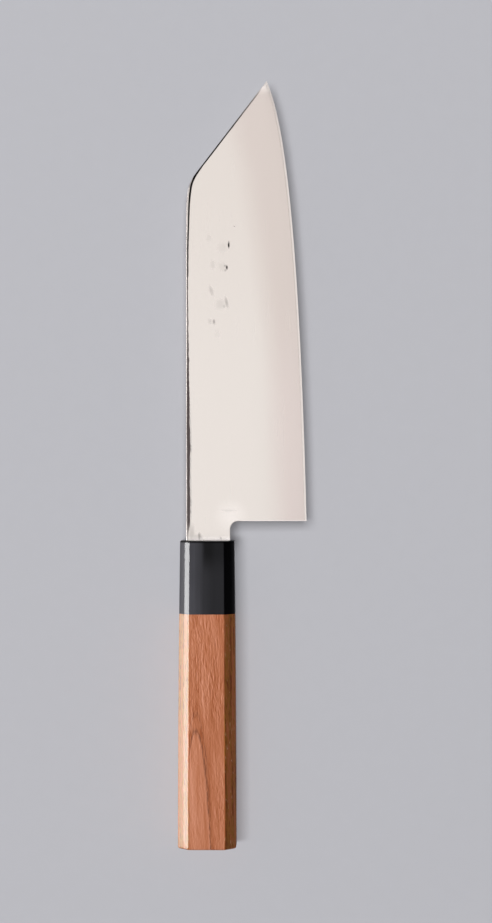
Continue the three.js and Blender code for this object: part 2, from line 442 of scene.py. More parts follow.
CHEEK_STEEL = (0.738, 0.682, 0.634, 1)
# Painted shade: the cheek's steel darker towards the tip, where less light falls.
SHADED_FORE_STEEL = (0.720, 0.659, 0.608, 1)
# Painted shade: the belly's steel darker towards the edge, where its curve turns from the light above.
SHADED_BELLY_STEEL = (0.660, 0.582, 0.538, 1)
SHADED_HEEL_BELLY_STEEL = (0.709, 0.621, 0.584, 1)
# Painted highlight: near-white steel for the pool of light above the choil, the neck, the tip and the
# heel's rim.
PAINTED_HIGHLIGHT_STEEL = (0.96, 0.90, 0.86, 1)
# Painted highlight along the bevel, dimmer at its fore part near the tip.
BEVEL_HIGHLIGHT_STEEL = (0.86, 0.795, 0.75, 1)
FORE_BEVEL_HIGHLIGHT_STEEL = (0.76, 0.69, 0.65, 1)
# A painted pool of light above the choil: from the back, above the ferrule, radius in mm, and its
# strength.
CHOIL_LIGHT_POOL = (18.5, 10.0, 9.0, 0.35)
# Where each tone begins and where it is full, in mm. Above the ferrule: the painted shade of the fore
# part of cheek and edge, the belly's painted shade at the heel, the tarnish, the rubbed scale, and the
# painted highlights at the neck and at the tip.
FORE_CHEEK = (60, 150)
FORE_EDGE = (140, 180)
HEEL_BELLY = (110, 40)
TARNISH_FOOT = (4, 9)
TARNISH_TOP = (60, 45)
RUBBED = (120, 98)
NECK_HIGHLIGHT = (2.2, 0.2)
TIP_HIGHLIGHT = (181.5, 187)
# From the edge: the belly's painted shade and the bevel's painted highlight. Above the heel line and from
# the back: the painted highlight on the heel's rim.
BELLY = (25, 12)
BEVEL = (0.75, 0.55)
HEEL_RIM = (0.55, 0.15)
HEEL_RIM_START = (21, 24)
# How far the belly's painted shade is shifted to the edge, in mm, at heights above the ferrule.
BELLY_SHIFT = ((0, 6.5), (60, 6.2), (100, 4.5), (130, 3.0), (150, 2.0), (163, 0.0), (190, 0.0))
SCALE_BLACK = (0.005, 0.004, 0.004, 1)
SCALE_BROWN = (0.100, 0.078, 0.073, 1)
SCALE_RUBBED = (0.054, 0.040, 0.040, 1)
TARNISH = (0.36, 0.34, 0.33, 1)
TARNISH_WIDTH = 0.6
STEEL_ROUGHNESS = 0.26
BRUSH_DEPTH = 0.0006 * MM
# Black scale along the back, at heights above the ferrule: where it starts and ends, as mm from the
# silhouette, and how solid it is.
SCALE_START = (
    (0, 0.42), (25, 0.42), (45, 0.34), (90, 0.34), (110, 0.42), (119, 0.47), (123, 0.60), (127, 0.70),
    (131, 0.79), (135, 0.77), (139, 0.75), (143, 0.62), (147, 0.30), (149, 0.0), (190, 0.0),
)
SCALE_END = (
    (0, 1.0), (3, 1.1), (7, 1.65), (16, 1.9), (21, 1.65), (33, 1.65), (38, 1.85), (46, 1.6),
    (54, 1.6), (58, 1.45), (66, 1.3), (78, 1.22), (90, 1.0), (98, 0.92), (107, 0.92), (112, 1.05),
    (119, 1.1), (123, 1.18), (131, 1.41), (135, 1.46), (139, 1.52), (143, 1.38), (147, 1.02),
    (150, 0.78), (153, 0.64), (170, 0.60), (190, 0.5),
)
SCALE_SOLID = (
    (0, 0.55), (3, 0.6), (7, 0.95), (58, 0.98), (66, 0.98), (74, 0.95), (82, 0.88), (92, 0.75),
    (98, 0.9), (110, 0.95), (126, 1.0), (160, 1.0), (168, 0.95), (174, 0.85), (182, 0.6),
    (184.5, 0.0), (190, 0.0),
)
# How much the edge of the scale frays, also at heights above the ferrule.
SCALE_FRAY = ((0, 1.0), (60, 1.0), (110, 0.7), (118, 0.25), (190, 0.25))
# The shoulder, where the back turns, and a height past the tip. The outline is read at every so many
# of its points.
SHOULDER_TURN = (138, 148)
PAST_TIP = 190
OUTLINE_STEP = 100


def steel_finish(name, spots):
    """Satin steel with black scale along the back, and in spots and smudges left by the forging. It also
    has painted shade on the belly and towards the tip, and painted highlights on the bevel, above the
    choil, at the neck, on the heel's rim and at the tip.
    """
    finish, shader, place = new_finish(name, {"Specular IOR Level": 0.08})
    x, y, _ = place.axes()
    out = (x - BACK_X) / MM
    up = (y - FOOT_Y) / MM
    outline = back_line[1::OUTLINE_STEP] + [TIP]
    back = [((p.y - FOOT_Y) / MM, (p.x - BACK_X) / MM) for p in outline]
    turn_start, turn_end = SHOULDER_TURN
    slant = math.cos(CLIP_TURN)
    turned = up.follow(((0, 1), (turn_start, 1), (turn_end, slant), (PAST_TIP, slant)))
    depth = (out - up.follow([(0, 0)] + back)) * turned
    outline = edge_line[::OUTLINE_STEP] + [TIP]
    edge = [((p.y - FOOT_Y) / MM, (p.x - BACK_X) / MM) for p in outline]
    to_edge = up.follow(edge) - out

    brush = place.grain((2600, 26, 2600), 4)
    cloud = place.grain((60, 24, 60), 3)
    speck = place.grain((2100, 1300, 2100), 3, 0.65)
    ragged = place.grain((900, 260, 900), 4, 0.65)

    frayed = depth + ((ragged - 0.5) * 0.9 + (speck - 0.5) * 0.4) * up.follow(SCALE_FRAY)
    oxide = (up.follow(SCALE_END) - frayed).smooth(-0.12, 0.12)
    oxide = oxide * (depth - up.follow(SCALE_START)).smooth(-0.07, 0.07) * up.follow(SCALE_SOLID)
    for spot_x, spot_up, half_width, half_height, lean, black in spots:
        below = spot_up - up
        across = ((x - AXIS_X) / MM - spot_x - below * lean) / half_width
        along = below / half_height
        reach = across.math("SQRT", across * across + along * along) + (speck - 0.5) * 0.9
        oxide = oxide.math("MAXIMUM", oxide, reach.smooth(1.5, 0.3) * black)
    fringe = (up.follow(SCALE_END) + TARNISH_WIDTH - frayed).smooth(-0.2, 0.3)
    fringe = fringe * up.smooth(*TARNISH_TOP) * up.smooth(*TARNISH_FOOT)
    tarnish = fringe * speck.smooth(0.40, 0.60) * 0.8

    # Painted shade: the cheek darkens towards the tip.
    cheek = up.smooth(*FORE_CHEEK).mix(CHEEK_STEEL, SHADED_FORE_STEEL)
    # Painted shade over the belly, darker near the edge.
    belly = up.smooth(*HEEL_BELLY).mix(SHADED_BELLY_STEEL, SHADED_HEEL_BELLY_STEEL)
    shifted = to_edge + up.follow(BELLY_SHIFT) + (cloud - 0.5) * 4
    steel = shifted.smooth(*BELLY).mix(cheek, belly)
    # Painted highlight along the bevel.
    bevel_highlight = up.smooth(*FORE_EDGE).mix(BEVEL_HIGHLIGHT_STEEL, FORE_BEVEL_HIGHLIGHT_STEEL)
    steel = to_edge.smooth(*BEVEL).mix(steel, bevel_highlight)
    # Painted highlights: a pool of light above the choil, and bright steel at the neck, the tip and the
    # heel's rim.
    glow_out, glow_up, glow_radius, glow_strength = CHOIL_LIGHT_POOL
    beside = (out - glow_out) / glow_radius
    along = (up - glow_up) / glow_radius
    glow = out.math("SQRT", beside * beside + along * along).smooth(1, 0) * glow_strength
    heel_rim_highlight = (up - (HEEL_Y - FOOT_Y) / MM).smooth(*HEEL_RIM) * out.smooth(*HEEL_RIM_START)
    painted_highlights = glow.math("MAXIMUM", glow, up.smooth(*NECK_HIGHLIGHT))
    painted_highlights = painted_highlights.math("MAXIMUM", painted_highlights, up.smooth(*TIP_HIGHLIGHT) * 0.6)
    steel = painted_highlights.math("MAXIMUM", painted_highlights, heel_rim_highlight * 0.8).mix(steel, PAINTED_HIGHLIGHT_STEEL)
    steel = tarnish.mix(steel, TARNISH)
    rubbed = up.smooth(*RUBBED)
    scale = rubbed.mix(SCALE_BLACK, SCALE_RUBBED)
    scale = (speck.smooth(0.42, 0.70) * rubbed).mix(scale, SCALE_BROWN)
    connect(shader, {
        "Base Color": oxide.mix(steel, scale),
        "Metallic": 1 - 0.8 * oxide,
        "Roughness": STEEL_ROUGHNESS + 0.02 * brush + 0.3 * oxide,
        "Normal": (brush + ragged * oxide * 20).relief(BRUSH_DEPTH),
    })
    return finish


blade_core.data.materials.append(steel_finish("core_steel_satin", ()))
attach(blade_core, "root")
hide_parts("blade_core")


# Right cladding: the soft steel layer on the cheek that faces up. Forged, so hammer dents and black
# scale are left towards its back, then ground and rubbed to a satin along its length.
CLADDING_NECK_ROWS = 8
RIGHT_ROWS = 360
RIGHT_COLUMNS = (8, 56, 40)
# A dent is a little longer along the blade than across it, and steeper on its edge side.
DENT_SQUEEZE = 0.8
DENT_LEAN = 0.55
# Each dent: place from the handle's axis and the ferrule's front, radius and depth, in mm.
DENTS = (
    (7.6, 120.4, 1.7, 0.030),
    (7.1, 111.7, 1.5, 0.034),
    (0.9, 102.2, 1.5, 0.024),
    (6.6, 97.0, 1.7, 0.030),
    (1.8, 89.5, 1.3, 0.028),
    (0.3, 123.8, 1.2, 0.008),
    (1.5, 112.7, 1.3, 0.010),
)
# Each spot of scale: place as for a dent, half width and half height in mm, how much it leans, and
# how black it is. Most lie in or beside a dent, the blackest on its steep side, the last at the neck.
SPOTS = (
    (8.71, 120.8, 0.38, 1.30, 0.0, 1.0),
    (7.93, 111.6, 0.42, 0.85, 0.0, 1.0),
    (7.20, 112.3, 0.35, 0.45, 0.0, 0.40),
    (7.32, 110.4, 0.45, 0.50, 0.0, 0.30),
    (1.60, 102.0, 0.70, 1.80, 0.26, 0.20),
    (7.80, 97.3, 0.60, 1.90, 0.20, 0.32),
    (6.80, 95.7, 0.55, 0.60, 0.0, 0.20),
    (2.66, 89.4, 0.50, 1.00, 0.0, 0.45),
    (0.94, 89.5, 0.70, 0.90, 0.0, 0.12),
    (0.57, 123.7, 0.90, 1.30, 0.0, 0.06),
    (2.17, 112.7, 0.90, 1.50, 0.0, 0.09),
    (4.00, 84.3, 1.00, 1.50, 0.0, 0.03),
    (10.92, 128.4, 0.25, 0.25, 0.0, 0.5),
    (6.0, 119.6, 1.8, 2.0, 0.0, 0.05),
    (6.0, 111.9, 1.6, 1.6, 0.0, 0.06),
    (5.2, 96.5, 1.8, 2.0, 0.0, 0.08),
    (-3.27, 1.6, 0.6, 1.5, 0.0, 0.42),
    (-2.3, 1.2, 0.35, 0.9, 0.0, 0.15),
    (-6.4, 3.0, 1.1, 3.4, 0.0, 0.20),
    (-5.2, 1.4, 1.6, 1.2, 0.0, 0.12),
    (5.5, 0.9, 0.4, 0.5, 0.0, 0.25),
    (8.6, 12.3, 2.6, 0.4, 0.0, 0.10),
)


def dent_depth(point, dents):
    """How far the hammer dents sink the cheek at a point."""
    depth = 0
    for x, y, radius, deep in dents:
        across = (point.x - AXIS_X) / MM - x
        along = ((point.y - FOOT_Y) / MM - y) * DENT_SQUEEZE
        reach = math.hypot(across, along) / radius
        if reach < 1:
            depth += deep * MM * (1 - reach * reach) ** 2 * (1 + DENT_LEAN * across / radius)
    return depth


def cladding_ring(section, reach, neck, side, counts, dents):
    """Ring round a cladding: from the core's face round the back and over the cheek to its end."""
    top = section.rounding
    start = section.crossing(top, 0, CORE_HALF) if section.half(0) < CORE_HALF else 0
    stop = section.crossing(top, section.height, CORE_HALF)
    inner, outer = columns(section, min(reach, stop), stop, counts)
    ring = [(section.at(start), CORE_HALF)]
    for d in inner:
        d = min(max(d, start), stop)
        point = section.at(d)
        ring.append((point, max(section.half(d) - dent_depth(point, dents), CORE_HALF)))
    for d in outer:
        if neck:
            ring.append((section.at(reach), CORE_HALF))
        else:
            ring.append((section.at(d), max(section.half(d), CORE_HALF)))
    return [place_at(point, MID_Z + side * z) for point, z in ring]


def cladding_end():
    """Share of the blade's length at which the core alone is left."""
    low, high = 0.5, 1.0
    for _ in range(HALVINGS):
        middle = (low + high) / 2
        section = blade_section(middle)
        if section.half(section.rounding) > CORE_HALF:
            low = middle
        else:
            high = middle
    return low


def cladding(name, side, row_count, counts, dents):
    """A cladding with its part of the tang, on the side that faces up (1) or down (-1)."""
    rings = [
        cladding_ring(neck_section(y), front - BACK_X, True, side, counts, dents)
        for y, front in neck_rows(CLADDING_NECK_ROWS)
    ]
    for t in blade_rows(row_count, cladding_end()):
        section = blade_section(t)
        reach = REACH_SHARE * section.height
        rings.append(cladding_ring(section, reach, False, side, counts, dents))
    piece = skin(name, rings)
    low, high = sorted((side * CORE_HALF, side * HEEL_HALF))
    join_shells(piece, tang_shell(low, high))
    return piece


right_cladding = cladding("right_cladding_steel", 1, RIGHT_ROWS, RIGHT_COLUMNS, DENTS)
right_cladding.data.materials.append(steel_finish("right_cladding_satin", SPOTS))
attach(right_cladding, "root")
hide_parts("right_cladding")


# Left cladding: the same soft steel layer on the cheek that lies towards the table, ground and
# rubbed like the other one and forge-welded to the core.
LEFT_ROWS = 200
LEFT_COLUMNS = (6, 16, 16)
left_cladding = cladding("left_cladding_steel", -1, LEFT_ROWS, LEFT_COLUMNS, ())
left_cladding.data.materials.append(steel_finish("left_cladding_satin", ()))
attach(left_cladding, "root")
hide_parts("left_cladding")


# Mouth seal: a dark wax-like filler poured round the tang, flush with the ferrule's front face.
# It keeps the CAD solid and gets the dull, slightly pitted surface of poured wax.
WAX_DARK = (0.008, 0.007, 0.006, 1)
WAX_PALE = (0.022, 0.019, 0.016, 1)
PIT_DEPTH = 0.05 * MM
seal_finish, shader, place = new_finish("seal_wax", {"IOR": 1.45})
pits = place.grain((900, 900, 900), 4)
connect(shader, {
    "Base Color": pits.mix(WAX_DARK, WAX_PALE),
    "Roughness": 0.42 + 0.2 * pits,
    "Normal": pits.relief(PIT_DEPTH),
})
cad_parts["mouth_seal"].data.materials.clear()
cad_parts["mouth_seal"].data.materials.append(seal_finish)


# Ferrule: a collar of black horn, cut to the handle's octagon and polished by hand, so its facets
# are a little crowned and their edges soft. A slot in front takes the tang, a bore the dowel.
HANDLE_LENGTH = 125.1 * MM
HANDLE_FRONT = (11.05 * MM, 8.7 * MM, 4.15 * MM)
HANDLE_BUTT = (11.9 * MM, 9.6 * MM, 4.48 * MM)
FERRULE_LENGTH = ferrule_high.y - ferrule_low.y
MOUTH_EASING = 0.4 * MM
MOUTH_SLOT = (5.6 * MM, 2.4 * MM)
FRONT_WALL = 6 * MM
BORE_RADIUS = 6.3 * MM
FACET_CROWN = 0.05 * MM
CORNER_RADIUS = 0.30 * MM
CORNER_TURN = math.pi / 4
CORNER_STEPS = 4
FACET_STEPS = 6
EASING_ROWS = 5
FERRULE_ROWS = 10


def octagon(y, inset):
    """Ring round the handle at y, drawn in by inset, with rounded corners and crowned facets."""
    t = (FOOT_Y - y) / HANDLE_LENGTH
    swell = 1 - (1 - t) ** 2
    low = inset + FACET_CROWN
    x = lerp(HANDLE_FRONT[0], HANDLE_BUTT[0], swell) - low
    z = lerp(HANDLE_FRONT[1], HANDLE_BUTT[1], t) - low
    cut = lerp(HANDLE_FRONT[2], HANDLE_BUTT[2], swell) - low * (2 - math.sqrt(2))
    quarter = [(x - cut, z), (x, z - cut)]
    half = quarter + [(px, -pz) for px, pz in reversed(quarter)]
    corners = [Vector(p) for p in half + [(-px, pz) for px, pz in reversed(half)]]
    tangent = CORNER_RADIUS * math.tan(CORNER_TURN / 2)
    ring = []
    for i, here in enumerate(corners):
        following = corners[(i + 1) % len(corners)]
        before = (corners[i - 1] - here).normalized()
        after = (following - here).normalized()
        middle = here + (before + after).normalized() * CORNER_RADIUS / math.cos(CORNER_TURN / 2)
        first = here + before * tangent
        last = here + after * tangent
        for t in steps(CORNER_STEPS):
            toward = first.lerp(last, t) - middle
            ring.append(middle + toward.normalized() * CORNER_RADIUS)
        facet_end = following - after * tangent
        outward = Vector((-after.y, after.x))
        for t in steps(FACET_STEPS)[1:-1]:
            ring.append(last.lerp(facet_end, t) + outward * FACET_CROWN * 4 * t * (1 - t))
    return [Vector((AXIS_X + p.x, y, MID_Z + p.y)) for p in ring]


def eased_rings(end, inward, easing):
    """Octagon rings that leave the side of the handle and turn in to an end face."""
    rings = []
    for t in steps(EASING_ROWS):
        angle = t * math.pi / 2
        y = end + inward * easing * (1 - math.sin(angle))
        rings.append(octagon(y, easing * (1 - math.cos(angle))))
    return rings


def bore_ring(like, y):
    """Round ring with its points on the same rays as another ring."""
    ring = []
    for point in like:
        ray = Vector((point.x - AXIS_X, point.z - MID_Z)).normalized() * BORE_RADIUS
        ring.append(Vector((AXIS_X + ray.x, y, MID_Z + ray.y)))
    return ring


def slot_ring(like, y, half_width, half_height):
    """Rectangular ring with its points on the same rays as another ring, and four true corners."""
    rays = [Vector((point.x - AXIS_X, point.z - MID_Z)).normalized() for point in like]
    ring = []
    for ray in rays:
        reach = min(
            half_width / max(abs(ray.x), TINY),
            half_height / max(abs(ray.y), TINY),
        )
        ring.append(ray * reach)
    for corner in (Vector((i * half_width, j * half_height)) for i in (-1, 1) for j in (-1, 1)):
        nearest = max(range(len(rays)), key=lambda k: rays[k].dot(corner))
        ring[nearest] = corner
    return [Vector((AXIS_X + p.x, y, MID_Z + p.y)) for p in ring]


ferrule_rear = FOOT_Y - FERRULE_LENGTH
outer = [octagon(lerp(ferrule_rear, FOOT_Y - MOUTH_EASING, t), 0) for t in steps(FERRULE_ROWS)[:-1]]
outer += eased_rings(FOOT_Y, -1, MOUTH_EASING)
mouth = outer[-1]
inside = [
    slot_ring(mouth, FOOT_Y, *MOUTH_SLOT),
    slot_ring(mouth, FOOT_Y - FRONT_WALL, *MOUTH_SLOT),
    bore_ring(mouth, FOOT_Y - FRONT_WALL),
    bore_ring(mouth, ferrule_rear),
]
ferrule = skin("ferrule_horn", outer + inside, closed=True)

HORN_BLACK = (0.0010, 0.0010, 0.0014, 1)
HORN_GREY = (0.051, 0.050, 0.058, 1)
# How grey the horn is at distances from the axis, in mm: paler on the left, which faces the light, and
# black on the right chamfer, which faces away from it. This is painted light and shade.
HORN_SHADING_ACROSS = (
    (-8, 1.0), (-5.3, 0.95), (-2.5, 0.62), (-1.2, 0.42), (0.8, 0.34), (2, 0.26), (6.8, 0.25),
    (7.3, 0.02), (12, 0.02),
)
# The darker heart: behind the ferrule's front, from the axis, and where it weakens again. The front's rim
# is painted black and without coat, a painted dark reflection along its rounded edge.
HEART_BACK = (15, 4)
HEART_START = (-2.8, -0.6)
HEART_END = (1.5, 4)
HORN_RIM_SHADE = (1.0, 0.3)
HORN_DEPTH = 0.006 * MM
horn_finish, shader, place = new_finish("horn_polished", {
    "IOR": 1.54,
    "Specular IOR Level": 0.024,
    "Coat Roughness": 0.04,
    "Coat IOR": 1.54,
})
x, y, _ = place.axes()
across = (x - AXIS_X) / MM
back = (FOOT_Y - y) / MM
fibre = place.grain((1100, 22, 1100), 4)
mottle = place.grain((150, 45, 150), 3)
heart = back.smooth(*HEART_BACK) * (across + (mottle - 0.5) * 3).smooth(*HEART_START)
heart = heart * (0.95 - 0.35 * across.smooth(*HEART_END))
# Painted light and shade across the collar, broken up by the horn's own mottle and fibres.
grey = across.follow(HORN_SHADING_ACROSS) * (0.5 + 0.6 * mottle + 0.4 * fibre) * (1 - heart)
# Painted shade: a black line along the front's rim.
rim_shade = back.smooth(*HORN_RIM_SHADE)
connect(shader, {
    "Base Color": (grey * (1 - rim_shade)).mix(HORN_BLACK, HORN_GREY),
    "Coat Weight": (0.125 + 0.05 * fibre) * (1 - rim_shade),
    "Roughness": 0.28 + 0.05 * fibre,
    "Normal": (fibre * 0.4 + mottle).relief(HORN_DEPTH),
})
ferrule.data.materials.append(horn_finish)
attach(ferrule, "root")
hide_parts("ferrule")


# Dowel: the pale hardwood rod inside that lines up ferrule and handle, slotted for the tang and
# glued into both bores. It keeps the CAD solid and gets plain straight grain.
DOWEL_PALE = (0.70, 0.54, 0.34, 1)
DOWEL_DARK = (0.58, 0.41, 0.23, 1)
DOWEL_DEPTH = 0.03 * MM
dowel_finish, shader, place = new_finish("dowel_pale_wood", {"IOR": 1.5})
grain = place.grain((900, 25, 900), 4)
connect(shader, {
    "Base Color": grain.smooth(0.3, 0.7).mix(DOWEL_PALE, DOWEL_DARK),
    "Roughness": 0.62 + 0.15 * grain,
    "Normal": grain.relief(DOWEL_DEPTH),
})
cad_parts["dowel"].data.materials.clear()
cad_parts["dowel"].data.materials.append(dowel_finish)


# Tang bedding: resin poured into the dowel's slot to hold the tang. It keeps the CAD solid and gets
# a dark amber colour with faint flow lines.
AMBER = (0.075, 0.047, 0.020, 1)
AMBER_DARK = (0.040, 0.024, 0.012, 1)
FLOW_DEPTH = 0.02 * MM
resin_finish, shader, place = new_finish("bedding_resin", {"IOR": 1.52})
flow = place.grain((240, 90, 240), 3)
connect(shader, {
    "Base Color": flow.smooth(0.3, 0.7).mix(AMBER, AMBER_DARK),
    "Roughness": 0.22 + 0.2 * flow,
    "Normal": flow.relief(FLOW_DEPTH),
})
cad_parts["tang_bedding"].data.materials.clear()
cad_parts["tang_bedding"].data.materials.append(resin_finish)


# Handle body: one piece of red-brown, straight-grained wood, planed to an octagon that swells to
# the butt, bored from the front for the dowel, eased along its edges and oiled to a satin.
BUTT_EASING = 0.8 * MM
BORE_CLEARANCE = 0.3 * MM
BORE_END_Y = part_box("dowel")[0].y - BORE_CLEARANCE
HANDLE_ROWS = 30
butt_y = FOOT_Y - HANDLE_LENGTH
sides = [octagon(lerp(butt_y + BUTT_EASING, ferrule_rear, t), 0) for t in steps(HANDLE_ROWS)[1:]]
butt = eased_rings(butt_y, 1, BUTT_EASING)[::-1]
bore = [bore_ring(sides[-1], ferrule_rear), bore_ring(sides[-1], BORE_END_Y)]
handle_body = skin("handle_wood", butt + sides + bore)

WOOD_PALE = (0.620, 0.262, 0.160, 1)
WOOD_BODY = (0.452, 0.150, 0.066, 1)
WOOD_DARK = (0.300, 0.070, 0.016, 1)
# Side facets: darker, more olive wood than the face, partly its grain and partly painted shade on the
# right facets, which face away from the light.
SIDE_DARK = (0.225, 0.044, 0.004, 1)
SIDE_OLIVE = (0.345, 0.132, 0.012, 1)
SIDE_BODY = (0.390, 0.112, 0.020, 1)
SIDE_RED = (0.470, 0.128, 0.044, 1)
SIDE_PALE = (0.640, 0.340, 0.200, 1)
WOOD_VEIN = (0.135, 0.040, 0.020, 1)
END_BODY = (0.440, 0.150, 0.070, 1)
END_DARK = (0.150, 0.042, 0.018, 1)
# The growth rings, in mm: where their arches stand, how they flare and slope, and how far apart they are.
RING_MIDDLE = -4.5
RING_POWER = 2.4
RING_FLARE = 61
RING_SLOPE = 0.0352
RING_START = 6.515
RING_SPACING = 1.17
LEFT_CROWDING = 1.35
# The dark vein along one ring: half its width, how it swells in the cap of its arch, how strong it is,
# and how far off its second strand lies.
VEIN_HALF = 0.40
VEIN_CAP = (2.0, 0.3)
CAP_SWELL = 1.6
VEIN_STRENGTH = 0.62
SECOND_VEIN = 0.2
# A pale flake in front of the vein's top: from the axis, behind the ferrule's front, half sizes, in mm.
FLAKE = (-5.1, 74.3, 1.9, 4.0)
# The paler part at the right of the butt: from the axis, and behind the ferrule's front, in mm.
PALER_ASIDE = (1, 4)
PALER_BACK = (82, 94)
STROKES = ((1500, 260, 1500), 2, 0.6, 0.35)
STROKE_LEAN = 0.05
STROKE_WIDTH = 0.42 * MM
STROKE_DEPTH = 0.008 * MM
# Where the side facets begin, from the axis, and the end grain, from the butt, in mm.
FACET_EDGE = (6.8, 7.4)
END_FACE = (0.35, 0.05)

wood_finish, shader, place = new_finish("handle_oiled_wood", {
    "IOR": 1.5,
    "Specular IOR Level": 0.4,
    "Specular Tint": (0.84, 1.0, 0.91, 1),
    "Coat Weight": 0.06,
    "Coat Roughness": 0.06,
    "Coat IOR": 1.5,
})
x, y, z = place.axes()
aside = (x - AXIS_X) / MM
across = aside.math("MAXIMUM", aside - RING_MIDDLE, (RING_MIDDLE - aside) * LEFT_CROWDING)
back = (FOOT_Y - y) / MM
up = (z - MID_Z) / MM
wave = place.grain((30, 22, 30), 1)
lean = x + y * STROKE_LEAN + (wave - 0.5) * MM
fibres = x.node("ShaderNodeCombineXYZ", inputs={"X": lean, "Y": y, "Z": z})[0]
beside = x.node("ShaderNodeCombineXYZ", inputs={"X": lean + STROKE_WIDTH, "Y": y, "Z": z})[0]
line = fibres.grain((1900, 45, 1900), 2, 0.6, 0.3)
stroke = 0.5 + fibres.grain(*STROKES) - beside.grain(*STROKES)
dots = fibres.grain((1700, 300, 1700), 1, 0.5, 0.5)
pore = dots.smooth(0.35, 0.26)
fleck = dots.smooth(0.66, 0.75)
patch = place.grain((130, 50, 130), 2).smooth(0.38, 0.62)
band = fibres.grain((520, 26, 520), 2, 0.5)
stripe = place.grain((900, 14, 900), 2, 0.5)
drift = place.grain((120, 18, 120), 3)

year = up + across.math("POWER", across, RING_POWER) / RING_FLARE - back * RING_SLOPE
year = year - RING_START + (drift - 0.5) * 0.12
steep = across.math("POWER", across, RING_POWER - 1) * RING_POWER / RING_FLARE
steep = across.math("SQRT", steep * steep + RING_SLOPE * RING_SLOPE)
from_vein = year / steep
wander = fibres.grain((700, 90, 700), 2)
thick = VEIN_HALF * (0.4 + 1.3 * place.grain((60, 60, 60), 2))
thick = thick * (1 + CAP_SWELL * across.smooth(*VEIN_CAP))
gap = from_vein.math("ABSOLUTE", from_vein + (wander - 0.5) * 0.5) / thick
vein = gap.smooth(1.6, 0.3) * stroke.smooth(0.70, 0.44)
gap = from_vein.math("ABSOLUTE", (year - SECOND_VEIN) / steep + (wander - 0.5) * 0.9) / thick
vein = vein.math("MAXIMUM", vein, gap.smooth(1.2, 0.2) * stroke.smooth(0.64, 0.4) * 0.7)
halo = from_vein.smooth(3.2, 0.0)
halo = halo.math("MAXIMUM", halo, year.smooth(0.4, 0.0) * 0.7) * from_vein.smooth(-0.3, 0.1)
flake_aside, flake_back, flake_half_width, flake_half_length = FLAKE
flake_x = (aside - flake_aside) / flake_half_width
flake_y = (back - flake_back) / flake_half_length
flake = flake_x.math("SQRT", flake_x * flake_x + flake_y * flake_y).smooth(1.2, 0.5)
halo = halo * (1 - flake)
paler = aside.smooth(*PALER_ASIDE) * back.smooth(*PALER_BACK)
ring = year / RING_SPACING
ring = ring.math("FRACT", ring)
late = ring.smooth(0.0, 0.03) * ring.smooth(0.16, 0.04)

inside = from_vein.smooth(0.1, -0.3)
lively = (1 - 0.5 * inside) * (0.6 + 0.7 * patch)
tone = 0.49 + ((line - 0.5) * 0.6 + (stroke - 0.5) * 0.7) * lively + (band - 0.5) * 0.4
tone = tone + 0.085 * inside + 0.08 * flake + 0.06 * paler - 0.04 * late
tone = tone - 0.14 * halo * (0.4 + stroke) - 0.15 * pore * lively + 0.1 * fleck
face_shades = ((0.25, WOOD_DARK), (0.5, WOOD_BODY), (0.75, WOOD_PALE))
face = tone.node("ShaderNodeValToRGB", {"stops": face_shades}, {"Fac": tone})[0]
face = (vein * VEIN_STRENGTH).mix(face, WOOD_VEIN)

right = aside.smooth(-1, 1)
streak = 0.5 + (stripe - 0.5) * (0.65 + 0.35 * right)
streak = streak + (stroke - 0.5) * 0.5 + (line - 0.5) * right * 0.5
side_shades = ((0.36, SIDE_DARK), (0.46, SIDE_OLIVE), (0.54, SIDE_BODY), (0.64, SIDE_RED))
side = streak.node("ShaderNodeValToRGB", {"stops": side_shades}, {"Fac": streak})[0]
side = (fleck * right * 0.6).mix(side, SIDE_PALE)
# Darker colours on the side facets: partly grain, partly painted shade.
on_side = aside.math("ABSOLUTE", aside).smooth(*FACET_EDGE)

end_face = (HANDLE_LENGTH / MM - back).smooth(*END_FACE)
cut_fibre = place.grain((2400, 2400, 2400), 2)
end_tone = 0.8 * ring.smooth(0.6, 0.0) + (cut_fibre - 0.4) * 0.8 + (wave - 0.5) * 0.4
end_grain = end_tone.mix(END_BODY, END_DARK)
connect(shader, {
    "Base Color": end_face.mix(on_side.mix(face, side), end_grain),
    "Roughness": 0.40 + 0.10 * stripe,
    "Normal": stroke.relief(STROKE_DEPTH),
})
handle_body.data.materials.append(wood_finish)
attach(handle_body, "root")
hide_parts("handle_body")


# Table: a plain pale sheet under the knife, matt, with the faintest mottling of paper. Away from the
# knife the camera sees it as the plain colour of the paper.
TABLE_HALF = 2.5
TABLE_GAP = 0.02 * MM
PAPER = (0.500, 0.500, 0.532, 1)
PAPER_DARKER = (0.485, 0.485, 0.515, 1)
PLAIN_FROM = (0.3, 1.1)
BLACK = (0, 0, 0, 1)
corners = [(i * TABLE_HALF, j * TABLE_HALF, -TABLE_GAP) for i, j in ((-1, -1), (1, -1), (1, 1), (-1, 1))]
table_mesh = bpy.data.meshes.new("table")
table_mesh.from_pydata(corners, [], [(0, 1, 2, 3)])
table = bpy.data.objects.new("table", table_mesh)
bpy.context.collection.objects.link(table)
paper_finish, shader, place = new_finish("table_paper", {
    "Roughness": 0.9,
    "Specular IOR Level": 0.1,
    "Emission Strength": 1.0,
})
x, y, _ = place.axes()
mottle = place.grain((160, 160, 160), 4)
rays = {ray.source.name: ray for ray in place.node("ShaderNodeLightPath")}
seen = rays["Is Camera Ray"].math("MAXIMUM", rays["Is Camera Ray"], rays["Is Transmission Ray"])
far = x.math("SQRT", x * x + y * y).smooth(*PLAIN_FROM) * seen
connect(shader, {
    "Base Color": far.mix(mottle.mix(PAPER, PAPER_DARKER), BLACK),
    "Emission Color": far.mix(BLACK, PAPER),
})
table_mesh.materials.append(paper_finish)


